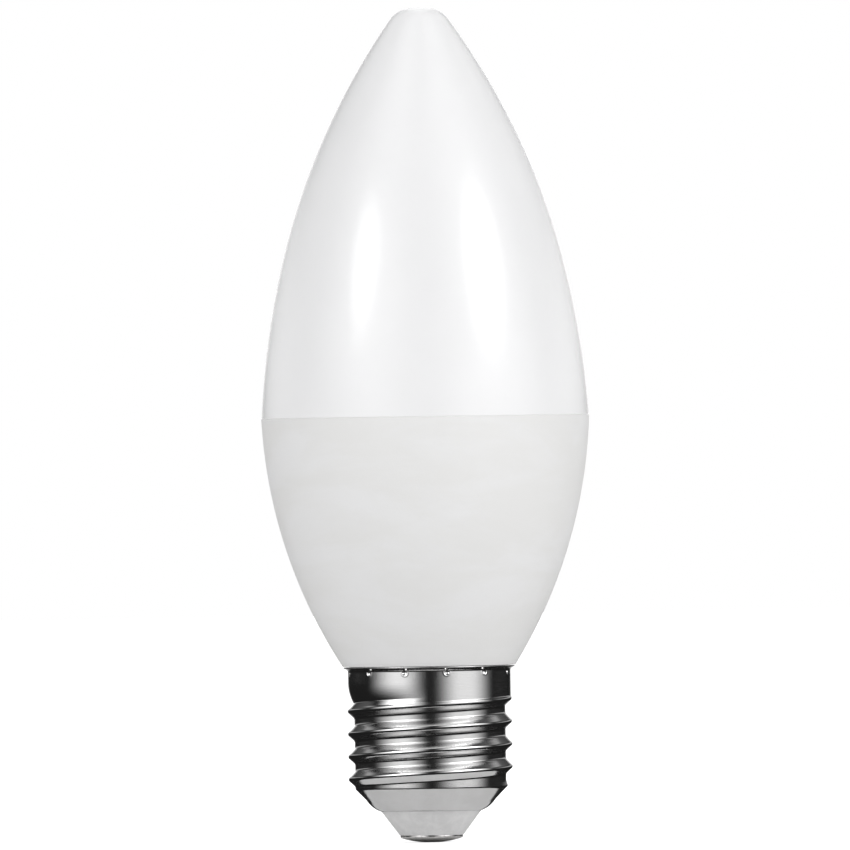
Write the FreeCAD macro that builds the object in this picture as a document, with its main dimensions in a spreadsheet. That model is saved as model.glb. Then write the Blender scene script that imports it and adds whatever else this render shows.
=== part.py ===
import FreeCAD, Part
import math
import os

import Sketcher

# Candle-shaped lamp with an E27 screw cap, standing cap down.
# Millimetres. +Z runs up the lamp's axis, the origin is the tip of the centre contact, -Y is the front.

os.makedirs("parts", exist_ok=True)

doc = FreeCAD.newDocument("candle_lamp")

# Sizes, each written once
SIZES = [
    # centre contact
    ("contact_radius", 5.0),
    ("contact_tip_radius", 1.2),
    ("contact_dome_radius", 16.0),
    ("contact_dome_height", 0.69),
    ("contact_bevel", 0.25),
    ("contact_height", 1.15),
    ("rivet_radius", 1.5),
    ("rivet_length", 3.6),
    # insulator
    ("insulator_foot_radius", 5.1),
    ("insulator_rim_radius", 8.0),
    ("insulator_length", 3.85),
    ("collar_length", 1.25),
    ("collar_bevel", 0.6),
    # screw shell
    ("sheet", 0.35),
    ("mouth_radius", 8.12),
    ("mouth_wall", 0.5),
    ("curl_radius", 9.95),
    ("curl_length", 1.42),
    ("taper_length", 3.3),
    ("mouth_bore_length", 3.95),
    ("barrel_spare", 0.02),
    ("skirt_step", 0.13),
    ("skirt_length", 1.25),
    ("skirt_bore_length", 0.3),
    ("skirt_bore_slant", 1.6),
    ("bead_step", 0.1),
    ("flare_width", 0.72),
    ("flare_length", 0.53),
    ("edge_length", 0.17),
    # crimps that lock the shell to the housing
    ("crimp_count", 12),
    ("crimp_lead", 0.9),
    ("crimp_radius", 0.45),
    ("crimp_floor_radius", 0.18),
    ("crimp_depth", 0.24),
    ("crimp_overcut", 0.03),
    ("crimp_first_angle", 12.5),
    # rolled thread
    ("crest_radius", 13.18),
    ("thread_depth", 1.06),
    ("pitch", 3.629),
    ("turns", 4),
    ("crest_land", 0.26),
    ("crest_shoulder_width", 0.224),
    ("crest_shoulder_drop", 0.146),
    ("root_shoulder_width", 0.509),
    ("root_shoulder_rise", 0.264),
    ("root_land", 0.604),
    ("first_crest_lead", 3.411),
    ("last_crest_lead", 0.42),
    ("crest_back_width", 0.5),
    ("start_angle", -90.0),
    ("ridge_rise_delay", 60.0),
    ("ridge_rise_span", 80.0),
    ("groove_end_gap", 6.0),
    ("groove_end_span", 78.0),
    ("runout_delay", 150.0),
    ("runout_span", 100.0),
    ("runout_step_rise", 1.24),
    ("runout_step_drop", 0.97),
    ("die_margin", 1.0),
    # housing
    ("fit_gap", 0.05),
    ("neck_end_gap", 0.1),
    ("foot_overhang", 0.14),
    ("foot_bevel", 0.12),
    ("housing_length", 39.95),
    ("housing_bulge_radius", 80.68),
    ("seam_radius", 26.24),
    ("seam_bevel", 0.12),
    ("rim_wall", 1.3),
    ("recess_depth", 2.7),
    # diffuser
    ("seam_step", 0.04),
    ("spigot_gap", 0.1),
    ("lower_flame_length", 23.822),
    ("lower_bulge_radius", 142.46),
    ("waist_radius", 22.763),
    ("upper_flame_length", 39.796),
    ("upper_bulge_radius", 110.42),
    ("nose_radius", 4.65),
    ("nose_length", 1.884),
    ("nose_round", 4.554),
    ("tip_flat_radius", 0.96),
]

sheet = doc.addObject("Spreadsheet::Sheet", "Sizes")
for row, (name, value) in enumerate(SIZES, 1):
    sheet.set("A%d" % row, name)
    sheet.set("B%d" % row, str(value))
    sheet.setAlias("B%d" % row, name)
doc.recompute()


class Term:
    """A number together with the sheet expression that gives it."""

    def __init__(self, value, text):
        self.value = value
        self.text = text

    def joined(self, other, sign, value):
        other_text = other.text if isinstance(other, Term) else str(other)
        return Term(value, "(%s %s %s)" % (self.text, sign, other_text))

    def __add__(self, other):
        return self.joined(other, "+", self.value + number(other))

    def __sub__(self, other):
        return self.joined(other, "-", self.value - number(other))

    def __mul__(self, other):
        return self.joined(other, "*", self.value * number(other))

    def __truediv__(self, other):
        return self.joined(other, "/", self.value / number(other))


def number(term):
    return term.value if isinstance(term, Term) else term


def size(name):
    return Term(float(sheet.get(name)), "Sizes." + name)


def bind(item, path, term):
    item.setExpression(path, term.text)


# Drawing
def origin_part(body, role):
    return [part for part in body.Origin.OriginFeatures if part.Role == role][0]


def arc_between(start, end, radius, bulge):
    """Circle and angles of an arc from start to end that bulges to the right (1) or left (-1)."""
    chord = end - start
    middle = (start + end) * 0.5
    half = chord.Length / 2
    side = FreeCAD.Vector(-chord.y, chord.x, 0) * (bulge / chord.Length)
    centre = middle + side * math.sqrt(radius * radius - half * half)
    first, last = (start, end) if bulge > 0 else (end, start)
    low = math.atan2(first.y - centre.y, first.x - centre.x)
    high = math.atan2(last.y - centre.y, last.x - centre.x)
    if high < low:
        high += 2 * math.pi
    circle = Part.Circle(centre, FreeCAD.Vector(0, 0, 1), radius)
    return Part.ArcOfCircle(circle, low, high)


def draw(body, name, corners):
    """Closed, fully constrained profile of corners (across, up), or (across, up, arc radius, bulge)."""
    sketch = body.newObject("Sketcher::SketchObject", name)
    sketch.AttachmentSupport = [(origin_part(body, "XZ_Plane"), "")]
    sketch.MapMode = "FlatFace"
    spots = [FreeCAD.Vector(number(corner[0]), number(corner[1]), 0) for corner in corners]
    ends = []
    for index, corner in enumerate(corners):
        start = spots[index]
        end = spots[(index + 1) % len(spots)]
        if len(corner) == 2:
            edge = sketch.addGeometry(Part.LineSegment(start, end), False)
            ends.append((edge, 1, 2))
        else:
            radius, bulge = corner[2], corner[3]
            arc = arc_between(start, end, number(radius), bulge)
            edge = sketch.addGeometry(arc, False)
            ends.append((edge, 1, 2) if bulge > 0 else (edge, 2, 1))
            fix = sketch.addConstraint(Sketcher.Constraint("Radius", edge, number(radius)))
            sketch.setExpression("Constraints[%d]" % fix, radius.text)
    for index, (edge, first, last) in enumerate(ends):
        after, after_first, _ = ends[(index + 1) % len(ends)]
        sketch.addConstraint(Sketcher.Constraint("Coincident", edge, last, after, after_first))
    for (edge, first, _), corner in zip(ends, corners):
        for kind, term, axis in (("DistanceX", corner[0], -2), ("DistanceY", corner[1], -1)):
            if isinstance(term, Term):
                rule = Sketcher.Constraint(kind, -1, 1, edge, first, term.value)
                fix = sketch.addConstraint(rule)
                sketch.setExpression("Constraints[%d]" % fix, term.text)
            else:
                sketch.addConstraint(Sketcher.Constraint("PointOnObject", edge, first, axis))
    return sketch


def revolve(body, name, corners):
    sketch = draw(body, name + "Profile", corners)
    doc.recompute()
    turned = body.newObject("PartDesign::Revolution", name)
    turned.Profile = sketch
    turned.ReferenceAxis = (sketch, ["V_Axis"])
    turned.Angle = 360
    sketch.Visibility = False
    doc.recompute()
    return turned


def new_body(name):
    body = doc.addObject("PartDesign::Body", name)
    body.Label = name
    return body


# Shared radii
fit_gap = size("fit_gap")
rivet_hole = size("rivet_radius") + fit_gap
root_radius = size("crest_radius") - size("thread_depth")
barrel_radius = size("crest_radius") + size("barrel_spare")
skirt_radius = size("crest_radius") - size("skirt_step")
flare_radius = skirt_radius + size("flare_width")
skirt_bore = skirt_radius - size("sheet")
thread_bore = root_radius - size("sheet")
mouth_bore = size("mouth_radius") - size("mouth_wall")
collar_radius = thread_bore - fit_gap
recess_radius = size("seam_radius") - size("rim_wall")

# Shared levels, from the tip of the contact upwards
contact_top = size("contact_height")
rivet_top = contact_top + size("rivet_length")
mouth_level = contact_top + size("insulator_length")
curl_level = mouth_level + size("curl_length")
taper_top = curl_level + size("taper_length")
bore_level = mouth_level + size("mouth_bore_length")
insulator_top = bore_level + size("collar_length")
first_crest = mouth_level + size("first_crest_lead")
last_crest = first_crest + size("pitch") * (size("turns") + 1 + size("start_angle") / 360)
band_top = last_crest + size("crest_land") / 2 + size("last_crest_lead")
skirt_bore_level = band_top - size("skirt_bore_length")
bore_shoulder = skirt_bore_level - size("skirt_bore_slant")
crimp_level = band_top + size("crimp_lead")
bead_level = band_top + size("skirt_length")
flare_level = bead_level + size("flare_length")
foot_level = flare_level + size("edge_length")
seam_level = foot_level + size("housing_length")
recess_floor = seam_level - size("recess_depth")
waist_level = seam_level + size("lower_flame_length")
nose_level = waist_level + size("upper_flame_length")
lamp_top = nose_level + size("nose_length")

# Centre contact: domed disc with a rivet that holds it to the insulator
contact = new_body("centre_contact")
contact_rim = size("contact_radius") - size("contact_bevel")
contact_edge = size("contact_dome_height") + size("contact_bevel")
revolve(
    contact,
    "ContactDisc",
    [
        (0, 0),
        (size("contact_tip_radius"), 0, size("contact_dome_radius"), 1),
        (contact_rim, size("contact_dome_height")),
        (size("contact_radius"), contact_edge),
        (size("contact_radius"), contact_top),
        (size("rivet_radius"), contact_top),
        (size("rivet_radius"), rivet_top),
        (0, rivet_top),
    ],
)

# Insulator: cone between contact and shell, with the collar that fills the shell's mouth
insulator = new_body("insulator")
revolve(
    insulator,
    "InsulatorCone",
    [
        (rivet_hole, contact_top),
        (size("insulator_foot_radius"), contact_top),
        (size("insulator_rim_radius"), mouth_level),
        (mouth_bore - fit_gap, mouth_level),
        (collar_radius, bore_level),
        (collar_radius, insulator_top - size("collar_bevel")),
        (collar_radius - size("collar_bevel"), insulator_top),
        (0, insulator_top),
        (0, rivet_top + fit_gap),
        (rivet_hole, rivet_top + fit_gap),
    ],
)

# Screw shell before rolling: tapered mouth, plain barrel, flared top edge
blank = new_body("ShellBlank")
revolve(
    blank,
    "ShellSheet",
    [
        (size("mouth_radius"), mouth_level),
        (size("curl_radius"), curl_level),
        (barrel_radius, taper_top),
        (barrel_radius, band_top),
        (skirt_radius, band_top),
        (skirt_radius, bead_level),
        (skirt_radius + size("bead_step"), bead_level + size("bead_step")),
        (flare_radius, flare_level),
        (flare_radius, foot_level),
        (skirt_bore, foot_level),
        (skirt_bore, skirt_bore_level),
        (thread_bore, bore_shoulder),
        (thread_bore, bore_level),
        (mouth_bore, mouth_level),
    ],
)

# Crimps: conical dents round the skirt, in its outer face
crimp_floor = skirt_radius - size("crimp_depth")
crimp_face = skirt_radius + size("crimp_overcut")
crimp_mouth = size("crimp_radius") + size("crimp_overcut")
crimp_sketch = draw(
    blank,
    "CrimpProfile",
    [
        (crimp_floor, 0),
        (crimp_face + size("crimp_radius"), 0),
        (crimp_face + size("crimp_radius"), crimp_mouth),
        (crimp_face, crimp_mouth),
        (crimp_floor, size("crimp_floor_radius")),
    ],
)
crimp_sketch.AttachmentOffset = FreeCAD.Placement(
    FreeCAD.Vector(0, crimp_level.value, 0),
    FreeCAD.Rotation(FreeCAD.Vector(0, 1, 0), size("crimp_first_angle").value),
)
bind(crimp_sketch, "AttachmentOffset.Base.y", crimp_level)
bind(crimp_sketch, "AttachmentOffset.Rotation.Angle", size("crimp_first_angle"))
doc.recompute()
crimp = blank.newObject("PartDesign::Groove", "Crimp")
crimp.Profile = crimp_sketch
crimp.ReferenceAxis = (crimp_sketch, ["H_Axis"])
crimp.Angle = 360
crimp_sketch.Visibility = False
doc.recompute()
crimps = blank.newObject("PartDesign::PolarPattern", "Crimps")
crimps.Originals = [crimp]
crimps.Axis = (origin_part(blank, "Z_Axis"), [""])
crimps.Angle = 360
crimps.Occurrences = int(size("crimp_count").value)
bind(crimps, "Occurrences", size("crimp_count"))
blank.Tip = crimps
doc.recompute()


# Thread: all that lies outside the rolled surface, as one solid to be cut from the blank
def smooth(part):
    part = min(max(part, 0.0), 1.0)
    return part * part * (3 - 2 * part)


def radians(name):
    return math.radians(number(size(name)))


def thread_corners():
    """(distance from the crest's middle, drop below the crest) down one flank."""
    depth = number(size("thread_depth"))
    land = number(size("crest_land")) / 2
    foot = (number(size("pitch")) - number(size("root_land"))) / 2
    return [
        (land, 0.0),
        (land + number(size("crest_shoulder_width")), number(size("crest_shoulder_drop"))),
        (foot - number(size("root_shoulder_width")), depth - number(size("root_shoulder_rise"))),
        (foot, depth),
    ]


def runout_corners():
    """Both sides of the last groove as it runs out.

    The lower side gives (rise above the crest, radius) with the groove and without it, the upper side
    gives (share of the way down from the skirt, radius).
    """
    crest = number(size("crest_radius"))
    skirt = number(skirt_radius)
    land = number(size("crest_land")) / 2
    back = number(size("crest_back_width"))
    step_rise = number(size("runout_step_rise"))
    step = crest - number(size("runout_step_drop"))
    shoulder, shoulder_drop = thread_corners()[1]
    shoulder_flat = crest - (crest - skirt) * (shoulder - land) / (back - land)
    lower = [
        ((land, crest), (land, crest)),
        ((shoulder, crest - shoulder_drop), (shoulder, shoulder_flat)),
        ((0.73 * step_rise, crest - 0.71 * (crest - step)), (back, skirt)),
        ((0.89 * step_rise, crest - 0.95 * (crest - step)), (0.89 * step_rise, skirt)),
    ]
    shares = (1.0, 0.66, 0.36, 0.12, 0.0)
    upper = [(share, skirt - (skirt - step) * share * share) for share in shares]
    return lower, upper


def thread_line(ridge, offset, drop, runout=None):
    """Line beside a crest as a function of the angle; the first ridge rises and the last groove runs out."""
    start = radians("start_angle")
    end = start + 2 * math.pi
    rise = start + radians("ridge_rise_delay")
    runout_start = start + radians("runout_delay")
    first = number(first_crest)
    pitch = number(size("pitch"))
    depth = number(size("thread_depth"))
    below = int(number(size("turns"))) - 1

    def spot(angle):
        ridge_angle = angle + 2 * math.pi * ridge
        fade = smooth((ridge_angle - rise) / radians("ridge_rise_span"))
        radius = number(root_radius) + (depth - drop) * fade
        height = first + pitch * ridge_angle / (2 * math.pi) + offset
        if runout is None:
            return radius, height
        cut = smooth((end - radians("groove_end_gap") - angle) / radians("groove_end_span"))
        blend = smooth((angle - runout_start) / radians("runout_span"))
        crest_height = first + pitch * (below + angle / (2 * math.pi))
        end_height, end_radius, flat = runout(crest_height, cut)
        height += (end_height - height) * blend
        radius += (end_radius - radius) * blend
        return flat + (radius - flat) * cut, height

    return spot


def lower_runout(full, flat):
    def place(crest_height, cut):
        return crest_height + flat[0] + (full[0] - flat[0]) * cut, full[1], flat[1]

    return place


def upper_runout(share, radius, flat):
    def place(crest_height, cut):
        step_height = crest_height + number(size("runout_step_rise"))
        return number(last_crest) + (step_height - number(last_crest)) * share, radius, flat

    return place


def thread_lines():
    """Lines from the lowest ridge's foot up to the skirt."""
    corners = thread_corners()
    turns = int(number(size("turns")))
    crest = number(size("crest_radius"))
    skirt = number(skirt_radius)
    lines = [thread_line(0, -offset, drop) for offset, drop in reversed(corners)]
    for turn in range(turns - 1):
        lines += [thread_line(turn, offset, drop) for offset, drop in corners]
        lines += [thread_line(turn + 1, -offset, drop) for offset, drop in reversed(corners)]
    lower, upper = runout_corners()
    for (offset, drop), (full, flat) in zip(corners, lower):
        lines.append(thread_line(turns - 1, offset, drop, lower_runout(full, flat)))
    for (offset, drop), (share, radius) in zip(reversed(corners), upper):
        lines.append(thread_line(turns, -offset, drop, upper_runout(share, radius, skirt)))

    def behind(offset, radius, end_lead):
        """Line behind the last crest, which sinks to the skirt as the groove runs out."""
        regular = thread_line(turns, offset, 0.0)
        runout_start = radians("start_angle") + radians("runout_delay")

        def spot(angle):
            _, height = regular(angle)
            blend = smooth((angle - runout_start) / radians("runout_span"))
            height += (number(last_crest) + end_lead - height) * blend
            return radius + (skirt - radius) * blend, height

        return spot

    lines.append(behind(corners[0][0], crest, 0.0))
    lines.append(behind(number(size("crest_back_width")), skirt, 0.7 * number(size("last_crest_lead"))))
    return lines


def turn_edge(spot):
    """One turn of a line, from the start angle round to it again."""
    steps = 16
    angles = [radians("start_angle") + 2 * math.pi * step / steps for step in range(steps + 1)]

    def place(angle):
        radius, height = spot(angle)
        return FreeCAD.Vector(radius * math.cos(angle), radius * math.sin(angle), height)

    def heading(angle):
        return (place(angle + 1e-4) - place(angle - 1e-4)) * 5e3

    curve = Part.BSplineCurve()
    curve.interpolate(
        Points=[place(angle) for angle in angles],
        Parameters=angles,
        InitialTangent=heading(angles[0]),
        FinalTangent=heading(angles[-1]),
        Scale=False,
    )
    return curve.toShape()


def half_turn(edge, half):
    start = radians("start_angle") + math.pi * half
    return edge.Curve.toShape(start, start + math.pi)


def half_circle(radius, level, half):
    start = radians("start_angle") + math.pi * half
    circle = Part.Circle(FreeCAD.Vector(0, 0, level), FreeCAD.Vector(0, 0, 1), radius)
    return Part.ArcOfCircle(circle, start, start + math.pi).toShape()


def thread_die():
    low = number(mouth_level) - number(size("die_margin"))
    top = number(band_top)
    outside = number(flare_radius) + number(size("die_margin"))
    lines = [turn_edge(line) for line in thread_lines()]
    faces = [Part.makeRuledSurface(under, over) for under, over in zip(lines[:-1], lines[1:])]
    for line, radius, level in (
        (lines[0], number(root_radius), low),
        (lines[-1], number(skirt_radius), top),
    ):
        halves = [half_circle(radius, level, half) for half in (0, 1)]
        for half, arc in enumerate(halves):
            faces.append(Part.makeRuledSurface(half_turn(line, half), arc))
        rim = Part.makeCircle(outside, FreeCAD.Vector(0, 0, level))
        faces.append(Part.makeFace([Part.Wire([rim]), Part.Wire(halves)], "Part::FaceMakerBullseye"))
    barrel = Part.makeCylinder(outside, top - low, FreeCAD.Vector(0, 0, low))
    faces += [face for face in barrel.Faces if isinstance(face.Surface, Part.Cylinder)]
    sewn = Part.Compound(faces)
    sewn.sewShape(1e-4)
    die = Part.makeSolid(sewn.Shells[0])
    if die.Volume < 0:
        die.reverse()
    return die


thread = doc.addObject("Part::Feature", "ThreadDie")
thread.Shape = thread_die()
thread.Placement = FreeCAD.Placement()
shell = doc.addObject("Part::Cut", "screw_shell")
shell.Base = blank
shell.Tool = thread
shell.Label = "screw_shell"
doc.recompute()

# Housing: cup-shaped body on the shell's edge, with a neck down inside the shell
housing = new_body("housing")
skirt_neck = skirt_bore - fit_gap
thread_neck = thread_bore - fit_gap
neck_end = insulator_top + size("neck_end_gap")
foot_radius = flare_radius + size("foot_overhang")
revolve(
    housing,
    "HousingCup",
    [
        (0, neck_end),
        (thread_neck, neck_end),
        (thread_neck, bore_shoulder + fit_gap),
        (skirt_neck, skirt_bore_level + fit_gap),
        (skirt_neck, foot_level),
        (foot_radius - size("foot_bevel"), foot_level),
        (foot_radius, foot_level + size("foot_bevel"), size("housing_bulge_radius"), 1),
        (size("seam_radius"), seam_level - size("seam_bevel")),
        (size("seam_radius") - size("seam_bevel"), seam_level),
        (recess_radius, seam_level),
        (recess_radius, recess_floor),
        (0, recess_floor),
    ],
)

# Diffuser: blunt flame with a spigot in the housing's recess
diffuser = new_body("diffuser")
spigot_radius = recess_radius - fit_gap
spigot_end = recess_floor + size("spigot_gap")
flame_radius = size("seam_radius") - size("seam_step")
flame_start = seam_level + size("seam_bevel")
revolve(
    diffuser,
    "DiffuserFlame",
    [
        (0, spigot_end),
        (spigot_radius, spigot_end),
        (spigot_radius, seam_level),
        (flame_radius - size("seam_bevel"), seam_level),
        (flame_radius, flame_start, size("lower_bulge_radius"), 1),
        (size("waist_radius"), waist_level, size("upper_bulge_radius"), 1),
        (size("nose_radius"), nose_level, size("nose_round"), 1),
        (size("tip_flat_radius"), lamp_top),
        (0, lamp_top),
    ],
)

# Each object has to be sound before the parts are written
for item in doc.Objects:
    wrong = [state for state in item.State if state in ("Invalid", "Error")]
    if wrong:
        raise RuntimeError("%s is %s" % (item.Label, wrong))
    if item.isDerivedFrom("Part::Feature"):
        if item.Shape.isNull() or not item.Shape.isValid():
            raise RuntimeError("%s has no sound shape" % item.Label)

for item in (contact, insulator, shell, housing, diffuser):
    solid = item.Shape
    solid.exportStep("parts/%s.step" % item.Label)
    print(item.Label, len(solid.Solids), "solid", round(solid.Volume, 1), "mm3")
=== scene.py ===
import math

import bmesh
import bpy
from mathutils import Matrix, Vector


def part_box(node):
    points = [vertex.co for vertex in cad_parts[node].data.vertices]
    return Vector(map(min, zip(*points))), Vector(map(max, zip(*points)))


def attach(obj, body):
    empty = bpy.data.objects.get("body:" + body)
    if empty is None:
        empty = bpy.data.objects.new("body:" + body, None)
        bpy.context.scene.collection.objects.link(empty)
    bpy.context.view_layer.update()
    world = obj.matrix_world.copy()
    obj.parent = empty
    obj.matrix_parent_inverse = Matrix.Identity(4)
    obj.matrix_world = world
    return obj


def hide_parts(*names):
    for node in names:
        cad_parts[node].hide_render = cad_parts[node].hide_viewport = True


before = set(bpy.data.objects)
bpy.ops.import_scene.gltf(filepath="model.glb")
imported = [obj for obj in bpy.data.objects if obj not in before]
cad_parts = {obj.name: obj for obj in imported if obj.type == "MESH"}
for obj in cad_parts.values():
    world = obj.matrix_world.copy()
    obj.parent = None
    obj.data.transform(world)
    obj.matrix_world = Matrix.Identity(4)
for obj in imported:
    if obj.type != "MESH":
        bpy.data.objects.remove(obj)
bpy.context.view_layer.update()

bl_info = {
    "name": "Candle lamp",
    "version": (1, 0, 0),
    "blender": (4, 5, 0),
    "location": "View3D > Sidebar > Candle lamp",
    "description": "Candle-shaped lamp with an opal diffuser and a screw cap",
    "category": "Object",
}

MM = 0.001
# Points this close are one point, and heights or radii this close are equal
MERGED = 1e-7
LEVEL = 1e-6


# Sizes and colours that a user would change
def length(name, text, millimetres):
    return bpy.props.FloatProperty(
        name=name, description=text, default=millimetres * MM, min=0.0, precision=5, unit="LENGTH"
    )


def colour(name, text, value):
    return bpy.props.FloatVectorProperty(
        name=name, description=text, default=value, size=3, min=0.0, max=1.0, subtype="COLOR"
    )


class LampSizes(bpy.types.PropertyGroup):
    tip_level: length("Tip", "Height of the diffuser's tip", 133.602)
    tip_flat: length("Tip flat", "Radius of the flat at the tip", 0.96)
    nose_level: length("Nose level", "Height at which the blunt nose begins", 131.718)
    nose_radius: length("Nose radius", "Radius at which the blunt nose begins", 4.65)
    nose_round: length("Nose round", "Radius of the nose's rounding", 4.554)
    upper_bulge: length("Upper bulge", "Radius of the flame's upper arc", 110.42)
    waist_level: length("Waist level", "Height where the flame's two arcs meet", 91.922)
    waist_radius: length("Waist radius", "Radius where the flame's two arcs meet", 22.763)
    lower_bulge: length("Lower bulge", "Radius of the flame's lower arc", 142.46)
    seam_level: length("Seam level", "Height of the seam between housing and diffuser", 68.1)
    seam_radius: length("Seam radius", "Radius of the housing at the seam", 26.24)
    seam_step: length("Seam step", "How far the diffuser lies inside the housing's edge", 0.04)
    seam_bevel: length("Seam bevel", "Bevel on both sides of the seam", 0.09)
    housing_bulge: length("Housing bulge", "Radius of the housing's arc", 80.68)
    foot_level: length("Foot level", "Height of the housing's foot on the cap", 28.24)
    foot_radius: length("Foot radius", "Radius of the housing's foot", 13.91)
    foot_bevel: length("Foot bevel", "Bevel round the housing's foot", 0.12)


class ThreadSizes(bpy.types.PropertyGroup):
    crest_radius: length("Crest radius", "Radius over the thread's crests", 13.18)
    depth: length("Depth", "Depth of the thread", 1.06)
    pitch: length("Pitch", "Rise of the thread in one turn", 3.629)
    crest_round: length("Crest round", "Rounding of the crests", 0.5)
    root_round: length("Root round", "Rounding at the roots", 0.5)
    first_crest: length("First crest", "Height of the lowest crest at the right-hand side", 8.411)
    skirt_radius: length("Skirt radius", "Radius of the plain skirt", 13.05)
    turns: bpy.props.IntProperty(name="Turns", description="Turns of the groove", default=4, min=1)
    crimps: bpy.props.IntProperty(name="Crimps", description="Number of crimps", default=12, min=1)
    crimp_level: length("Crimp level", "Height of the crimps", 27.22)
    crimp_radius: length("Crimp radius", "Radius of a crimp's mouth", 0.45)
    crimp_depth: length("Crimp depth", "Depth of a crimp", 0.24)


class LampColours(bpy.types.PropertyGroup):
    opal: colour("Opal", "Glossy opal of the diffuser", (0.945, 0.945, 0.950))
    housing: colour("Housing", "Satin white of the housing", (0.86, 0.86, 0.862))
    plating: colour("Plating", "Bright plating of the cap", (0.805, 0.802, 0.802))
    tarnish: colour("Tarnish", "Duller tone of the plating in the roots", (0.52, 0.51, 0.495))
    insulator: colour("Insulator", "Grey white of the insulator", (0.765, 0.762, 0.762))
    contact: colour("Contact", "Metal of the centre contact", (0.72, 0.71, 0.70))


# Mesh helpers
def arc(start, end, radius, steps):
    """Points after start, up to end, of an arc that bulges away from the axis as it goes up."""
    (x0, z0), (x1, z1) = start, end
    chord = math.hypot(x1 - x0, z1 - z0)
    reach = math.sqrt(radius * radius - chord * chord / 4)
    centre = ((x0 + x1) / 2 - (z1 - z0) / chord * reach, (z0 + z1) / 2 + (x1 - x0) / chord * reach)
    low = math.atan2(z0 - centre[1], x0 - centre[0])
    high = math.atan2(z1 - centre[1], x1 - centre[0])
    angles = [low + (high - low) * step / steps for step in range(1, steps + 1)]
    return [(centre[0] + radius * math.cos(a), centre[1] + radius * math.sin(a)) for a in angles]


def outline(bm, points):
    """Open line of edges through (radius, height) points in the XZ plane."""
    spots = [bm.verts.new((x, 0.0, z)) for x, z in points]
    return [bm.edges.new(pair) for pair in zip(spots[:-1], spots[1:])]


def soften(bm, radius):
    """Bevels the corners of an open outline that turn by more than 20 degrees."""
    limit = math.radians(20.0)
    corners = []
    for spot in bm.verts:
        if len(spot.link_edges) == 2:
            a, b = (edge.other_vert(spot).co - spot.co for edge in spot.link_edges)
            if math.pi - a.angle(b) > limit:
                corners.append(spot)
    bmesh.ops.bevel(
        bm, geom=corners, offset=radius, offset_type="OFFSET", segments=3,
        profile=0.5, affect="VERTICES", clamp_overlap=True, material=-1,
    )


def turn(bm, segments):
    """Turns the outline once round the axis and closes the poles."""
    bmesh.ops.spin(
        bm, geom=bm.verts[:] + bm.edges[:], cent=(0, 0, 0), axis=(0, 0, 1), dvec=(0, 0, 0),
        angle=2 * math.pi, steps=segments, use_merge=True, use_duplicate=False,
    )
    bmesh.ops.remove_doubles(bm, verts=bm.verts[:], dist=MERGED)
    bmesh.ops.recalc_face_normals(bm, faces=bm.faces[:])


def finish_piece(bm, name, material, node, sharp=40.0):
    """Makes the piece over the node that it replaces; edges sharper than sharp degrees stay sharp."""
    mesh = bpy.data.meshes.new(name)
    bm.to_mesh(mesh)
    bm.free()
    for face in mesh.polygons:
        face.use_smooth = True
    mesh.set_sharp_from_angle(angle=math.radians(sharp))
    piece = bpy.data.objects.new(name, mesh)
    bpy.context.scene.collection.objects.link(piece)
    piece.data.materials.append(material)
    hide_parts(node)
    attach(piece, "root")


def smooth(part):
    """Goes from 0 to 1 with part and is level at both ends."""
    part = min(max(part, 0.0), 1.0)
    return part * part * (3 - 2 * part)


# Shader helpers
class Link:
    """A socket with arithmetic on values."""

    def __init__(self, shade, socket):
        self.shade = shade
        self.socket = socket

    def maths(self, operation, *values):
        made = self.shade.node("ShaderNodeMath", {"operation": operation}, dict(enumerate(values)))
        return made["Value"]

    def __add__(self, other):
        return self.maths("ADD", self, other)

    def __radd__(self, other):
        return self.maths("ADD", other, self)

    def __sub__(self, other):
        return self.maths("SUBTRACT", self, other)

    def __rsub__(self, other):
        return self.maths("SUBTRACT", other, self)

    def __mul__(self, other):
        return self.maths("MULTIPLY", self, other)

    def __rmul__(self, other):
        return self.maths("MULTIPLY", other, self)

    def __pow__(self, other):
        return self.maths("POWER", self, other)

    def __rpow__(self, other):
        return self.maths("POWER", other, self)

    def limited(self, low, high):
        """0 below low, 1 above high and smooth between."""
        made = self.shade.node(
            "ShaderNodeMapRange",
            {"interpolation_type": "SMOOTHSTEP", "clamp": True},
            {"Value": self, "From Min": low, "From Max": high},
        )
        return made["Result"]


class Made:
    """A node's outputs by name."""

    def __init__(self, shade, node):
        self.shade = shade
        self.node = node

    def __getitem__(self, name):
        sockets = [s for s in self.node.outputs if s.name == name and s.enabled]
        return Link(self.shade, sockets[0])


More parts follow.
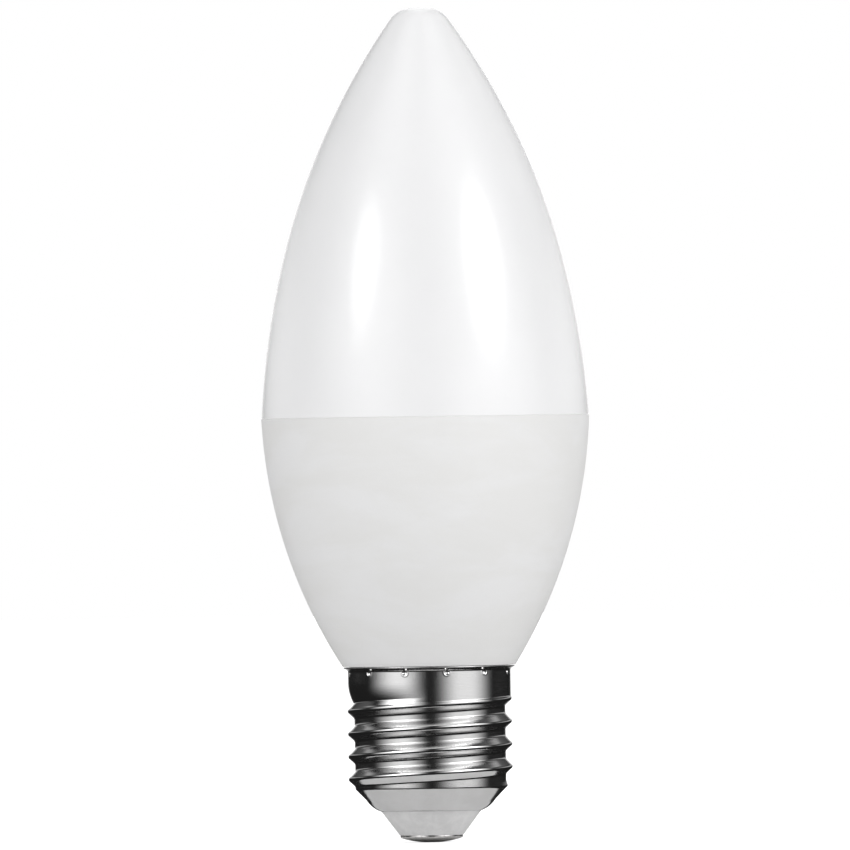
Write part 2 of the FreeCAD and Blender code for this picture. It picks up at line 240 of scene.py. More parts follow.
class Shade:
    """A material's or world's node tree."""

    def __init__(self, owner):
        owner.use_nodes = True
        self.tree = owner.node_tree
        self.tree.nodes.clear()

    def node(self, kind, settings=None, values=None):
        """Adds a node; values holds numbers, colours or links by a socket's name or number."""
        node = self.tree.nodes.new(kind)
        for key, value in (settings or {}).items():
            setattr(node, key, value)
        for key, value in (values or {}).items():
            if isinstance(key, int):
                socket = node.inputs[key]
            else:
                socket = [s for s in node.inputs if s.name == key and s.enabled][0]
            if isinstance(value, Link):
                self.tree.links.new(value.socket, socket)
            else:
                socket.default_value = value
        return Made(self, node)

    def mix(self, factor, first, second):
        """Colour that goes from first to second with the factor."""
        made = self.node(
            "ShaderNodeMix",
            {"data_type": "RGBA", "blend_type": "MIX", "clamp_factor": True},
            {"Factor": factor, "A": first, "B": second},
        )
        return made["Result"]

    def place(self, scale=(1.0, 1.0, 1.0)):
        """Object coordinates in millimetres, stretched by scale."""
        spot = self.node("ShaderNodeTexCoord")["Object"]
        return self.node(
            "ShaderNodeVectorMath",
            {"operation": "MULTIPLY"},
            {0: spot, 1: tuple(s / MM for s in scale)},
        )["Vector"]

    def span(self, vector):
        """Length of a vector."""
        return self.node("ShaderNodeVectorMath", {"operation": "LENGTH"}, {0: vector})["Value"]

    def noise(self, scale, detail, rough=0.5, stretch=(1.0, 1.0, 1.0), distortion=0.0):
        """Cloudy value; scale counts features per millimetre."""
        return self.node(
            "ShaderNodeTexNoise",
            {"noise_dimensions": "3D"},
            {
                "Vector": self.place(stretch), "Scale": scale, "Detail": detail,
                "Roughness": rough, "Distortion": distortion,
            },
        )["Fac"]

    def bump(self, height, distance, strength):
        """Normal of a surface that rises by distance where height goes from 0 to 1."""
        values = {"Height": height, "Distance": distance, "Strength": strength}
        return self.node("ShaderNodeBump", {}, values)["Normal"]

    def surface(self, **values):
        """Principled surface straight to the output; underscores in the names stand for spaces."""
        named = {key.replace("_", " "): value for key, value in values.items()}
        made = self.node("ShaderNodeBsdfPrincipled", {}, named)
        self.node("ShaderNodeOutputMaterial", {}, {"Surface": made["BSDF"]})


def band(value, rising, falling):
    """1 between a rising and a falling soft edge and 0 beyond them."""
    return value.limited(*rising) * (1 - value.limited(*falling))


def rgba(tone, factor=1.0):
    """Opaque colour of a tone, darker by the factor."""
    return (tone[0] * factor, tone[1] * factor, tone[2] * factor, 1.0)


# Finishes
def opal_plastic(tone):
    """Milky moulded diffuser, glossy, with a faint flow cloud and orange peel."""
    material = bpy.data.materials.new("Opal plastic")
    shade = Shade(material)
    clouded, flecked = rgba(tone, 0.985), rgba(tone, 0.965)
    cloud = shade.noise(0.045, detail=4.0, rough=0.55)
    fleck = shade.noise(1.6, detail=2.0)
    haze = shade.noise(0.12, detail=5.0, rough=0.6)
    peel = shade.noise(0.55, detail=2.0)
    body = shade.mix(cloud.limited(0.35, 0.68), clouded, rgba(tone))
    body = shade.mix(fleck.limited(0.62, 0.78) * 0.35, body, flecked)
    shade.surface(
        Base_Color=body,
        Roughness=0.13 + haze * 0.07,
        IOR=1.5,
        Diffuse_Roughness=1.0,
        Normal=shade.bump(peel, distance=0.02 * MM, strength=0.5),
    )
    return material


def satin_plastic(tone):
    """Spark-textured moulding with a faint warm cloudiness in level bands."""
    material = bpy.data.materials.new("Satin plastic")
    shade = Shade(material)
    warm = rgba((tone[0], tone[1] * 0.997, tone[2] * 0.985), 0.97)
    pitted = rgba(tone, 0.955)
    cloud = shade.noise(0.04, detail=5.0, rough=0.6, stretch=(1.0, 1.0, 3.2), distortion=0.4)
    grain = shade.noise(3.2, detail=3.0, rough=0.65)
    body = shade.mix(cloud.limited(0.40, 0.66), warm, rgba(tone))
    body = shade.mix(grain.limited(0.55, 0.75) * 0.5, body, pitted)
    shade.surface(
        Base_Color=body,
        Roughness=0.46 + grain * 0.14,
        IOR=1.47,
        Normal=shade.bump(grain, distance=0.03 * MM, strength=0.7),
    )
    return material


def rolled_plating(tone, tarnish, crest, depth):
    """Plated sheet: bright on the crests, duller in the roots, with rolling marks round the axis."""
    material = bpy.data.materials.new("Rolled plating")
    shade = Shade(material)
    radius = shade.span(shade.place((1.0, 1.0, 0.0)))
    root = 1 - radius.limited((crest - depth) / MM, (crest - 0.3 * depth) / MM)
    marks = shade.noise(1.3, detail=3.0, rough=0.6, stretch=(0.35, 0.35, 9.0))
    blotch = shade.noise(0.35, detail=4.0, rough=0.6)
    speck = shade.noise(7.0, detail=2.0)
    dull = root * 0.18 * blotch.limited(0.3, 0.7) + speck.limited(0.60, 0.74) * 0.35
    shade.surface(
        Base_Color=shade.mix(dull, rgba(tone), rgba(tarnish)),
        Metallic=1.0,
        Roughness=0.10 + marks * 0.06 + dull * 0.12,
        Normal=shade.bump(marks * 0.6 + speck * 0.4, distance=0.012 * MM, strength=0.6),
    )
    return material


def insulator_plastic(tone):
    """Matt moulded grey white with dusty mottling."""
    material = bpy.data.materials.new("Insulator plastic")
    shade = Shade(material)
    dusty, pitted = rgba(tone, 0.90), rgba(tone, 0.86)
    dust = shade.noise(0.55, detail=5.0, rough=0.65)
    grain = shade.noise(5.0, detail=2.0)
    body = shade.mix(dust.limited(0.36, 0.66), dusty, rgba(tone))
    body = shade.mix(grain.limited(0.58, 0.74) * 0.5, body, pitted)
    shade.surface(
        Base_Color=body,
        Roughness=0.50 + dust * 0.16,
        IOR=1.47,
        Normal=shade.bump(grain * 0.6 + dust * 0.4, distance=0.03 * MM, strength=0.6),
    )
    return material


def pressed_contact(tone):
    """Pressed metal disc with a fine grain and small scuffs."""
    material = bpy.data.materials.new("Pressed contact")
    shade = Shade(material)
    scuffed = rgba(tone, 0.78)
    scuff = shade.noise(1.1, detail=5.0, rough=0.7)
    grain = shade.noise(6.0, detail=2.0)
    shade.surface(
        Base_Color=shade.mix(scuff.limited(0.42, 0.62), scuffed, rgba(tone)),
        Metallic=1.0,
        Roughness=0.08 + scuff * 0.14,
        Normal=shade.bump(grain, distance=0.02 * MM, strength=0.6),
    )
    return material


# Pieces
class LAMP_OT_diffuser(bpy.types.Operator):
    """Adds the blunt flame-shaped diffuser"""

    bl_idname = "lamp.diffuser"
    bl_label = "Diffuser"

    # the spigot that stands in the housing's recess
    spigot_height, spigot_inset = 2.6 * MM, 1.36 * MM

    def execute(self, context):
        sizes = context.scene.lamp_sizes
        level = sizes.seam_level
        foot = sizes.seam_radius - sizes.seam_step
        start = (foot, level + sizes.seam_bevel)
        waist = (sizes.waist_radius, sizes.waist_level)
        nose = (sizes.nose_radius, sizes.nose_level)
        spigot, low = foot - self.spigot_inset, level - self.spigot_height
        points = [(0.0, low), (spigot, low), (spigot, level)]
        points += [(foot - sizes.seam_bevel, level), start]
        points += arc(start, waist, sizes.lower_bulge, steps=22)
        points += arc(waist, nose, sizes.upper_bulge, steps=44)
        points += arc(nose, (sizes.tip_flat, sizes.tip_level), sizes.nose_round, steps=12)
        points += [(0.0, sizes.tip_level)]
        bm = bmesh.new()
        outline(bm, points)
        turn(bm, segments=256)
        material = opal_plastic(context.scene.lamp_colours.opal)
        finish_piece(bm, "opal_diffuser", material, "diffuser")
        return {"FINISHED"}


class LAMP_OT_housing(bpy.types.Operator):
    """Adds the cup-shaped housing"""

    bl_idname = "lamp.housing"
    bl_label = "Housing"

    # the neck inside the cap's skirt, and the narrower part below its shoulder
    neck_inset, neck_step = 0.45 * MM, 1.1 * MM
    shoulder_from, shoulder_to = 13.0 * MM, 16.0 * MM
    # the recess that seats the diffuser
    rim_width, recess_depth = 1.3 * MM, 2.7 * MM

    def execute(self, context):
        sizes = context.scene.lamp_sizes
        low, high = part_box("housing")
        neck = context.scene.lamp_thread.skirt_radius - self.neck_inset
        narrow = neck - self.neck_step
        foot = (sizes.foot_radius, sizes.foot_level + sizes.foot_bevel)
        seam = (sizes.seam_radius, sizes.seam_level - sizes.seam_bevel)
        recess, floor = sizes.seam_radius - self.rim_width, high.z - self.recess_depth
        points = [(0.0, low.z), (narrow, low.z), (narrow, low.z + self.shoulder_from)]
        points += [(neck, low.z + self.shoulder_to), (neck, sizes.foot_level)]
        points += [(sizes.foot_radius - sizes.foot_bevel, sizes.foot_level), foot]
        points += arc(foot, seam, sizes.housing_bulge, steps=40)
        points += [(sizes.seam_radius - sizes.seam_bevel, high.z), (recess, high.z)]
        points += [(recess, floor), (0.0, floor)]
        bm = bmesh.new()
        outline(bm, points)
        turn(bm, segments=256)
        material = satin_plastic(context.scene.lamp_colours.housing)
        finish_piece(bm, "satin_housing", material, "housing")
        return {"FINISHED"}


class ThreadForm:
    """Radius of the rolled barrel at an angle and a height."""

    start = math.radians(-90.0)
    upper_lean, lower_lean = math.radians(43.0), math.radians(48.0)
    # angles over which the first ridge rises, the last groove changes and then ends
    rise_from, rise_to = math.radians(-30.0), math.radians(50.0)
    runout_from, runout_to = math.radians(60.0), math.radians(160.0)
    fade_from, fade_to = math.radians(182.0), math.radians(268.0)
    fade_ease = 0.25
    # the step under the skirt, and the distances above the last crest where the barrel sinks
    step_rise, step_drop, step_round = 1.24 * MM, 0.97 * MM, 0.05 * MM
    back_from, back_to = 0.13 * MM, 0.50 * MM

    def __init__(self, thread):
        self.pitch = thread.pitch
        self.turns = thread.turns
        self.depth = thread.depth
        self.crest = thread.crest_radius
        self.crest_round = thread.crest_round
        self.root_round = thread.root_round
        self.first = thread.first_crest
        self.skirt = thread.skirt_radius
        self.foot = self.stations(self.upper_lean)[2]
        self.last = self.first + self.pitch * (self.turns + 1 + self.start / (2 * math.pi))

    def stations(self, lean):
        """Distances from the crest at which a flank begins, ends and has reached the root."""
        rounding = self.crest_round + self.root_round
        shoulder = self.crest_round * math.sin(lean)
        flank = (self.depth - rounding * (1 - math.cos(lean))) / math.tan(lean)
        return shoulder, shoulder + flank, flank + rounding * math.sin(lean)

    def drop(self, above):
        """How far the surface lies below the crest at a height above it; the upper flank is gentler."""
        lean = self.upper_lean if above > 0 else self.lower_lean
        shoulder, flank_end, foot = self.stations(lean)
        offset = abs(above)
        if offset < shoulder:
            return self.crest_round - math.sqrt(self.crest_round**2 - offset**2)
        if offset < flank_end:
            return self.crest_round * (1 - math.cos(lean)) + (offset - shoulder) * math.tan(lean)
        if offset < foot:
            return self.depth - self.root_round + math.sqrt(self.root_round**2 - (foot - offset)**2)
        return self.depth

    def back(self, above):
        """Radius above the last crest, where the barrel sinks to the skirt."""
        share = smooth((above - self.back_from) / (self.back_to - self.back_from))
        return self.crest + (self.skirt - self.crest) * share

    def runout(self, above, height, angle):
        """Radius above the crest under the last groove, which ends as a shallow step under the skirt."""
        if above < self.pitch:
            nearest = above if above < self.pitch / 2 else above - self.pitch
            regular = self.crest - self.drop(nearest)
        else:
            regular = self.back(above - self.pitch)
        step_level = height - above + self.step_rise
        share = max((self.last - height) / (self.last - step_level), 0.0)
        bowl = self.skirt - (self.skirt - self.crest + self.step_drop) * share**2
        flank = self.crest - self.drop(min(above, self.foot))
        ended = -blended_lower(-bowl, -flank, self.step_round)
        blend = smooth((angle - self.runout_from) / (self.runout_to - self.runout_from))
        flat = self.back(above)
        left = min(max((self.fade_to - angle) / (self.fade_to - self.fade_from), 0.0), 1.0)
        cut = (1 - self.fade_ease) * left + self.fade_ease * smooth(left)
        return flat + (regular + (ended - regular) * blend - flat) * cut

    def radius(self, angle, height):
        """Radius at an angle in the turn that begins at the start angle, and at a height."""
        place = (height - self.first) / self.pitch - angle / (2 * math.pi)
        above = (place - self.turns + 1) * self.pitch
        if above > 0:
            return self.runout(above, height, angle)
        ridge = max(round(place), 0)
        offset = (place - ridge) * self.pitch
        ridge_angle = angle + 2 * math.pi * ridge
        fade = smooth((ridge_angle - self.rise_from) / (self.rise_to - self.rise_from))
        return self.crest - self.depth + (self.depth - self.drop(offset)) * fade


def blended_lower(first, second, width):
    """The smaller of two radii, rounded over where they meet."""
    near = max(width - abs(first - second), 0.0) / width
    return min(first, second) - near * near * width / 4


def ring_edges(bm, level):
    """Open edges at a height."""
    return [e for e in bm.edges if e.is_boundary and all(abs(v.co.z - level) < LEVEL for v in e.verts)]


def outwards(spot, radius, height):
    """Place at a radius and a height, in the direction in which a vertex lies."""
    across = Vector((spot.co.x, spot.co.y, 0.0)).normalized() * radius
    return (across.x, across.y, height)


def carry(bm, edges, stations):
    """Extrudes a ring of edges through (radius, height) stations."""
    for radius, height in stations:
        made = bmesh.ops.extrude_edge_only(bm, edges=edges)["geom"]
        for spot in [g for g in made if isinstance(g, bmesh.types.BMVert)]:
            spot.co = outwards(spot, radius, height)
        edges = [g for g in made if isinstance(g, bmesh.types.BMEdge)]


class LAMP_OT_screw_cap(bpy.types.Operator):
    """Adds the rolled screw shell with its crimps and flared edge"""

    bl_idname = "lamp.screw_cap"
    bl_label = "Screw shell"

    # rows in one pitch, columns in one turn, and where a column and a crimp stand
    rows, columns, first_angle = 48, 192, math.radians(-77.5)
    # points of neighbouring turns this close are joined
    joined = 2e-6
    barrel_low, barrel_top = 7.6 * MM, 26.2 * MM
    # the cone above the curl: a point on it, its slope, and the rounding where it meets the barrel
    cone_radius, cone_level, cone_slope, cone_round = 9.95 * MM, 6.42 * MM, 3.25 / 3.3, 0.16 * MM
    curl_low, curl_high, curl_round = (8.12 * MM, 5.0 * MM), (10.35 * MM, 6.82 * MM), 4.6 * MM
    # radius and height, in millimetres: in at the mouth, up the bore and the skirt's wider bore
    inside = ((7.95, 5.0), (7.62, 5.0), (11.77, 8.95), (11.77, 24.3), (12.70, 25.9), (12.70, 28.149))
    skirt_rows, skirt_step = 12, 0.1 * MM
    # distance outside the skirt and height, in millimetres, over the flared edge
    flare = (
        (0.015, 27.48), (0.06, 27.57), (0.16, 27.66), (0.32, 27.78), (0.52, 27.89),
        (0.66, 27.97), (0.715, 28.02), (0.72, 28.07), (0.70, 28.12), (0.65, 28.149),
    )
    # the part of the skirt that is refined round the crimps, and the reach beside each in columns
    crimp_low, crimp_high, crimp_outside, crimp_reach = 26.35 * MM, 27.72 * MM, 12.95 * MM, 2.2
    # in shares of a crimp's radius: the part fully pressed, and the raised lip's place and width
    crimp_flat, lip_place, lip_width = 0.35, 1.15, 0.22
    lip_height = 0.035 * MM
    # heights from which the crimp and its lip fade out below the flared edge
    crimp_fade, lip_fade, fade_height = 27.46 * MM, 27.35 * MM, 0.15 * MM

    def execute(self, context):
        form = ThreadForm(context.scene.lamp_thread)
        bm = bmesh.new()
        self.sweep(bm, form)
        for spot in bm.verts:
            angle = math.atan2(spot.co.y, spot.co.x)
            if angle < form.start:
                angle += 2 * math.pi
            cone = self.cone_radius + (spot.co.z - self.cone_level) * self.cone_slope
            radius = blended_lower(cone, form.radius(angle, spot.co.z), self.cone_round)
            spot.co = outwards(spot, radius, spot.co.z)
        inside = [(radius * MM, level * MM) for radius, level in self.inside]
        # down the cone, round the curl, in at the mouth and up inside
        curl = [self.curl_low] + arc(self.curl_low, self.curl_high, self.curl_round, steps=8)
        carry(bm, ring_edges(bm, self.barrel_low), curl[::-1] + inside)
        # up the skirt and over the flared edge
        levels = [self.barrel_top + self.skirt_step * row for row in range(1, self.skirt_rows + 1)]
        edge = [(form.skirt, level) for level in levels]
        edge += [(form.skirt + out * MM, level * MM) for out, level in self.flare]
        carry(bm, ring_edges(bm, self.barrel_top), edge + inside[-1:])
        bmesh.ops.remove_doubles(bm, verts=bm.verts[:], dist=self.joined)
        self.crimp(bm, context.scene.lamp_thread)
        bmesh.ops.recalc_face_normals(bm, faces=bm.faces[:])
        colours = context.scene.lamp_colours
        material = rolled_plating(colours.plating, colours.tarnish, form.crest, form.depth)
        finish_piece(bm, "rolled_screw_cap", material, "screw_shell", sharp=50.0)
        return {"FINISHED"}

    def sweep(self, bm, form):
        """Sweeps one pitch of rows round the axis, stacks the turns and cuts both ends level."""
        step = form.pitch / self.rows
        bottom = self.barrel_low - form.pitch - 2 * step
        turns = math.ceil((self.barrel_top - bottom) / form.pitch)
        outline(bm, [(form.crest, bottom + step * row) for row in range(self.rows + 1)])
        bmesh.ops.rotate(
            bm, verts=bm.verts[:], cent=(0, 0, 0), matrix=Matrix.Rotation(self.first_angle, 3, "Z")
        )
        bmesh.ops.spin(
            bm, geom=bm.verts[:] + bm.edges[:], cent=(0, 0, 0), axis=(0, 0, 1),
            dvec=(0, 0, form.pitch / self.columns), angle=2 * math.pi, steps=self.columns,
            use_merge=False, use_duplicate=False,
        )
        single = bm.verts[:] + bm.edges[:] + bm.faces[:]
        for lap in range(1, turns):
            made = bmesh.ops.duplicate(bm, geom=single)["geom"]
            spots = [item for item in made if isinstance(item, bmesh.types.BMVert)]
            bmesh.ops.translate(bm, verts=spots, vec=(0, 0, form.pitch * lap))
        bmesh.ops.remove_doubles(bm, verts=bm.verts[:], dist=self.joined)
        for level, outside in ((self.barrel_low, False), (self.barrel_top, True)):
            bmesh.ops.bisect_plane(
                bm, geom=bm.verts[:] + bm.edges[:] + bm.faces[:], dist=LEVEL,
                plane_co=(0, 0, level), plane_no=(0, 0, 1),
                clear_outer=outside, clear_inner=not outside,
            )

    def crimp(self, bm, thread):
        """Refines the skirt at each crimp and presses it in, with a raised lip."""
        reach = self.crimp_reach * 2 * math.pi / self.columns
        half = math.pi / self.columns

        def nearest(spot):
            """Angle from the nearest crimp's middle."""
            gap = 2 * math.pi / thread.crimps
            turned = (math.atan2(spot.co.y, spot.co.x) - self.first_angle + gap / 2) % gap
            return turned - gap / 2

        def outer(spot):
            level = self.crimp_low <= spot.co.z <= self.crimp_high
            return level and math.hypot(spot.co.x, spot.co.y) > self.crimp_outside

        near = {spot for spot in bm.verts if outer(spot) and abs(nearest(spot)) < reach}
        level_edges = [
            edge for edge in bm.edges
            if edge.verts[0] in near and edge.verts[1] in near
            and abs(edge.verts[0].co.z - edge.verts[1].co.z) < LEVEL
        ]
        bmesh.ops.subdivide_edges(bm, edges=level_edges, cuts=3, use_grid_fill=True)
        for spot in [v for v in bm.verts if outer(v)]:
            off = math.hypot(nearest(spot) * thread.skirt_radius, spot.co.z - thread.crimp_level)
            share = off / thread.crimp_radius
            # onto the circle again from the chord that was cut up
            beside = (math.atan2(spot.co.y, spot.co.x) - self.first_angle) % (2 * half) - half
            radius = math.hypot(spot.co.x, spot.co.y) * math.cos(beside) / math.cos(half)
            pressed = thread.crimp_depth * (1 - smooth((share - self.crimp_flat) / (1 - self.crimp_flat)))
            raised = self.lip_height * math.exp(-((share - self.lip_place) / self.lip_width) ** 2)
            # the flared edge above stays round
            radius -= pressed * (1 - smooth((spot.co.z - self.crimp_fade) / self.fade_height))
            radius += raised * (1 - smooth((spot.co.z - self.lip_fade) / self.fade_height))
            spot.co = outwards(spot, radius, spot.co.z)


class LAMP_OT_insulator(bpy.types.Operator):
    """Adds the insulating cone between shell and contact"""

    bl_idname = "lamp.insulator"
    bl_label = "Insulator"

    hole, hole_top = 1.55 * MM, 4.8 * MM
    face, face_bevel = 5.1 * MM, 0.12 * MM
    # the ledge at the shell's mouth and the collar inside it
    ledge_outside, ledge_inside, ledge_level = 8.0 * MM, 7.57 * MM, 5.0 * MM
    collar, collar_level = 11.7 * MM, 8.95 * MM

    def execute(self, context):
        low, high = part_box("insulator")
        points = [(self.hole, low.z), (self.face, low.z)]
        points += [(self.ledge_outside, self.ledge_level), (self.ledge_inside, self.ledge_level)]
        points += [(self.collar, self.collar_level), (self.collar, high.z), (0.0, high.z)]
        points += [(0.0, self.hole_top), (self.hole, self.hole_top), (self.hole, low.z)]
        bm = bmesh.new()
        outline(bm, points)
        bmesh.ops.remove_doubles(bm, verts=bm.verts[:], dist=MERGED)
        turn(bm, segments=160)
        rim = [
            edge for edge in bm.edges
            if all(abs(math.hypot(*spot.co.xy) - self.face) < LEVEL for spot in edge.verts)
        ]
        bmesh.ops.bevel(
            bm, geom=rim, offset=self.face_bevel, offset_type="OFFSET", segments=3,
            profile=0.5, affect="EDGES", clamp_overlap=True, material=-1,
        )
        material = insulator_plastic(context.scene.lamp_colours.insulator)
        finish_piece(bm, "cap_insulator", material, "insulator")
        return {"FINISHED"}


class LAMP_OT_contact(bpy.types.Operator):
    """Adds the domed centre contact"""

    bl_idname = "lamp.contact"
    bl_label = "Centre contact"

    land = (1.2 * MM, 0.0)
    dome_end, dome_round = (4.80 * MM, 0.66 * MM), 16.0 * MM
    edge, edge_low, edge_high, edge_round = 5.0 * MM, 0.78 * MM, 1.15 * MM, 0.04 * MM
    rivet, rivet_top = 1.5 * MM, 4.75 * MM

    def execute(self, context):
        points = [(0.0, 0.0), self.land] + arc(self.land, self.dome_end, self.dome_round, steps=12)
        points += [(self.edge, self.edge_low), (self.edge, self.edge_high)]
        points += [(self.rivet, self.edge_high), (self.rivet, self.rivet_top), (0.0, self.rivet_top)]
        bm = bmesh.new()
        outline(bm, points)
        soften(bm, self.edge_round)
        turn(bm, segments=128)
        material = pressed_contact(context.scene.lamp_colours.contact)
        finish_piece(bm, "centre_contact_disc", material, "centre_contact")
        return {"FINISHED"}


# Stage
def area_light(name, width, height, radiance, shape):
    """Area light of a size, as bright all over as its radiance."""
    data = bpy.data.lights.new(name, "AREA")
    data.shape = shape
    data.size = width
    data.size_y = height
    area = width * height * (math.pi / 4 if shape == "ELLIPSE" else 1.0)
    data.energy = radiance * math.pi * area
    return data


def place_light(data, azimuth, elevation, distance):
    """Sets a light that faces the lamp; azimuth is 0 at the camera and positive to its right."""
    light = bpy.data.objects.new(data.name, data)
    middle = Vector((0.0, 0.0, 0.05))
    a, e = math.radians(azimuth), math.radians(elevation)
    away = Vector((math.sin(a) * math.cos(e), -math.cos(a) * math.cos(e), math.sin(e)))
    light.location = middle + distance * away
    light.rotation_mode = "QUATERNION"
    light.rotation_quaternion = (-away).to_track_quat("-Z", "Y")
    light.visible_camera = False
    bpy.context.scene.collection.objects.link(light)
    return light


def stage_mesh(bm, name, material):
    """Makes a mesh that belongs to the stage."""
    mesh = bpy.data.meshes.new(name)
    bm.to_mesh(mesh)
    bm.free()
    thing = bpy.data.objects.new(name, mesh)
    thing.data.materials.append(material)
    bpy.context.scene.collection.objects.link(thing)
    return thing


def seen_rays(shade):
    """1 for the rays that show the background: straight to the camera, in gloss and through glass."""
    path = shade.node("ShaderNodeLightPath")
    total = path["Is Camera Ray"] + path["Is Glossy Ray"] + path["Is Transmission Ray"]
    return total.maths("MINIMUM", total, 1.0)


class LAMP_OT_stage(bpy.types.Operator):
    """Adds the floor, the reflected studio, the lights, the world and the camera"""

    bl_idname = "lamp.stage"
    bl_label = "Stage"

    floor_radius, floor_tone = 6.0, (0.84, 0.84, 0.84)
    # the floor's own glow under the lamp, and the distances over which it grows to white
    near_glow, glow_from, glow_to = 0.55, 0.05, 0.5
    # radius and height of the dome, from the floor up, and its darkest tone
    dome = ((0.0200, 0.0005), (3.0, 0.001), (3.0, 3.0), (1.6, 4.2), (0.0, 4.6))
    dome_middle, dome_dark = 0.02, 0.014
    # elevation and distance of the soft boxes; name, azimuth, width, height and radiance of each
    box_rise, box_distance = 27, 1.0
    boxes = (("Right softbox", 53, 0.60, 0.46, 2.6), ("Left softbox", -50, 0.40, 0.34, 3.4))
    # elevation, distance, width and height of the panels; name, azimuth and radiance of each
    panel_rise, panel_distance, panel_width, panel_height = 15, 1.3, 2.2, 1.0
    panels = (("Right panel", 56, 0.93), ("Left panel", -50, 0.74), ("Back panel", 180, 1.1))
    world_light = 0.46

    def execute(self, context):
        self.floor()
        self.drapes()
        self.lamps()
        self.world(context.scene)
        self.camera(context.scene)
        return {"FINISHED"}

    def floor(self):
        """Pale floor that fades to white and keeps the lamp's shadow."""
        material = bpy.data.materials.new("Pale floor")
        shade = Shade(material)
        seen = shade.node("ShaderNodeLightPath")["Is Camera Ray"]
        away = shade.span(shade.node("ShaderNodeTexCoord")["Object"])
        growth = (1 - self.near_glow) * away.limited(self.glow_from, self.glow_to)
        glow = seen * (self.near_glow + growth)
        tone = shade.node("ShaderNodeBsdfDiffuse", {}, {"Color": rgba(self.floor_tone)})
        lift = shade.node("ShaderNodeEmission", {}, {"Color": glow})
        both = shade.node("ShaderNodeAddShader", {}, {0: tone["BSDF"], 1: lift["Emission"]})
        shade.node("ShaderNodeOutputMaterial", {}, {"Surface": both["Shader"]})
        bm = bmesh.new()
        bmesh.ops.create_circle(bm, cap_ends=True, segments=96, radius=self.floor_radius)
        stage_mesh(bm, "floor", material)

    def drapes(self):
        """Dark dome with soft bright fields left and right and a pale back, which only reflections see."""
        material = bpy.data.materials.new("Reflected studio")
        shade = Shade(material)
        spot = shade.node("ShaderNodeTexCoord")["Object"]
        parts = shade.node("ShaderNodeSeparateXYZ", {}, {"Vector": spot})
        across = (parts["X"] ** 2 + parts["Y"] ** 2) ** 0.5
        # azimuth and elevation in degrees
        turned = parts["X"].maths("ARCTAN2", parts["X"], 0 - parts["Y"]) * math.degrees(1)
        rise = across.maths("ARCTAN2", parts["Z"] - self.dome_middle, across) * math.degrees(1)
        away = turned.maths("ABSOLUTE", turned)
        left = band(turned, (-98, -48), (-40, -2))
        right = band(turned, (4, 45), (60, 102)) * 0.93
        field = band(rise, (-15, 2), (60, 85))
        core = band(rise, (1, 11), (26, 44)) * 1.2
        low_streak = band(rise, (1, 5), (10, 15)) * 0.40
        high_streak = band(rise, (30, 36), (37, 46)) * 0.28
        veil = rise.limited(8, 30) * 0.08
        back = away.limited(160, 174) + away.limited(95, 125) * (low_streak + high_streak + veil)
        glow = self.dome_dark + (left + right) * (field + core) + back
        light = shade.node("ShaderNodeEmission", {}, {"Color": glow})
        shade.node("ShaderNodeOutputMaterial", {}, {"Surface": light["Emission"]})
        bm = bmesh.new()
        outline(bm, self.dome)
        turn(bm, segments=96)
        drape = stage_mesh(bm, "drape", material)
        drape.visible_camera = False
        drape.visible_diffuse = False
        drape.visible_transmission = False
        drape.visible_shadow = False

    def lamps(self):
        """Two round soft lights that gloss shows, and three large panels that it doesn't."""
        for name, azimuth, width, height, radiance in self.boxes:
            data = area_light(name, width, height, radiance, "ELLIPSE")
            place_light(data, azimuth, self.box_rise, self.box_distance)
        for name, azimuth, radiance in self.panels:
            data = area_light(name, self.panel_width, self.panel_height, radiance, "RECTANGLE")
            panel = place_light(data, azimuth, self.panel_rise, self.panel_distance)
            panel.visible_glossy = False

    def world(self, scene):
        """White where it is seen and dimmer as a light."""
        world = bpy.data.worlds.new("Studio")
        scene.world = world
        shade = Shade(world)
        strength = self.world_light + seen_rays(shade) * (1 - self.world_light)
        back = shade.node("ShaderNodeBackground", {}, {"Color": (1.0, 1.0, 1.0, 1.0), "Strength": strength})
        shade.node("ShaderNodeOutputWorld", {}, {"Surface": back["Background"]})
        scene.view_settings.view_transform = "Standard"

    def camera(self, scene):
        """Level long lens in front, turned about its own axis by a fraction of a degree."""
        data = bpy.data.cameras.new("Camera")
        distance, width = 5.0, 0.136
        aside, height = -0.00005, 0.06675
        data.sensor_width = 36.0
        data.lens = data.sensor_width * distance / width
        data.clip_end = 20.0
        camera = bpy.data.objects.new("Camera", data)
        lean = math.radians(0.90)
        turned = Matrix((
            (math.cos(lean), math.sin(lean), 0.0),
            (0.0, 0.0, -1.0),
            (-math.sin(lean), math.cos(lean), 0.0),
        ))
        camera.matrix_world = Matrix.Translation((aside, -distance, height)) @ turned.to_4x4()
        scene.collection.objects.link(camera)
        scene.camera = camera


class LAMP_PT_panel(bpy.types.Panel):
    """Lists the lamp's pieces, sizes and colours"""

    bl_idname = "LAMP_PT_panel"
    bl_label = "Candle lamp"
    bl_space_type = "VIEW_3D"
    bl_region_type = "UI"
    bl_category = "Candle lamp"

    def draw(self, context):
        column = self.layout.column()
        for operator in OPERATORS:
            column.operator(operator.bl_idname)
        for group in (context.scene.lamp_sizes, context.scene.lamp_thread, context.scene.lamp_colours):
            for name in group.bl_rna.properties.keys():
                if name not in ("rna_type", "name"):
                    column.prop(group, name)


OPERATORS = (
    LAMP_OT_stage,
    LAMP_OT_diffuser,
    LAMP_OT_housing,
    LAMP_OT_screw_cap,
    LAMP_OT_insulator,
    LAMP_OT_contact,
)
CLASSES = (LampSizes, ThreadSizes, LampColours, LAMP_PT_panel) + OPERATORS


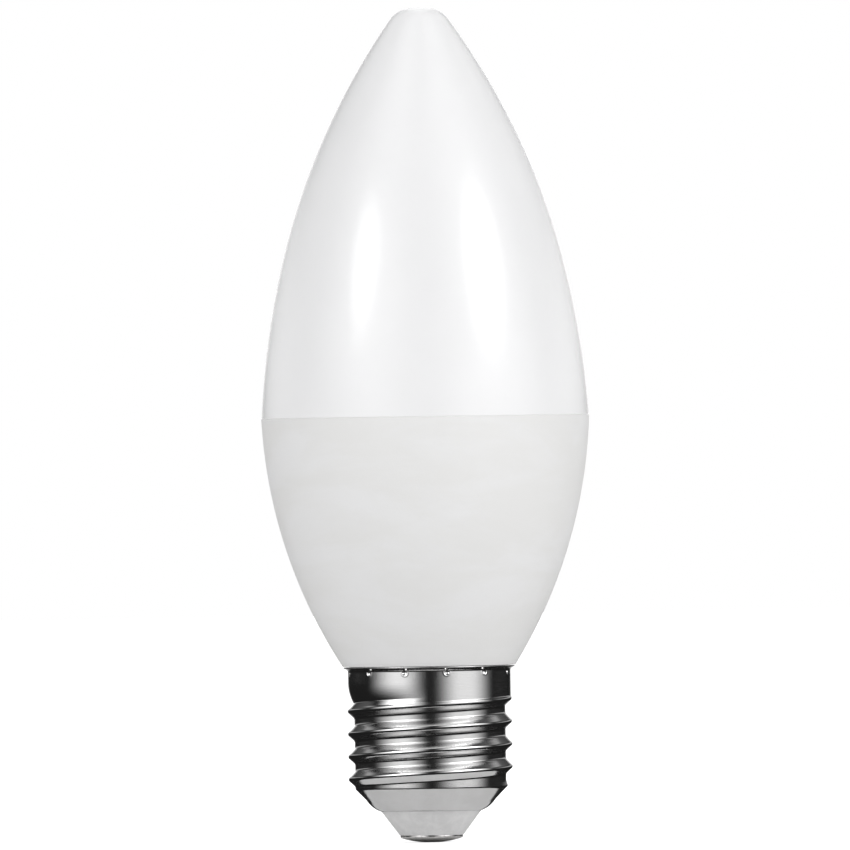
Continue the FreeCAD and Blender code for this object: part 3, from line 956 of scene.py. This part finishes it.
def register():
    for item in CLASSES:
        bpy.utils.register_class(item)
    bpy.types.Scene.lamp_sizes = bpy.props.PointerProperty(type=LampSizes)
    bpy.types.Scene.lamp_thread = bpy.props.PointerProperty(type=ThreadSizes)
    bpy.types.Scene.lamp_colours = bpy.props.PointerProperty(type=LampColours)


def unregister():
    del bpy.types.Scene.lamp_colours
    del bpy.types.Scene.lamp_thread
    del bpy.types.Scene.lamp_sizes
    for item in reversed(CLASSES):
        bpy.utils.unregister_class(item)


def main():
    register()
    bpy.ops.lamp.stage()
    bpy.ops.lamp.diffuser()
    bpy.ops.lamp.housing()
    bpy.ops.lamp.screw_cap()
    bpy.ops.lamp.insulator()
    bpy.ops.lamp.contact()


if __name__ == "__main__":
    main()
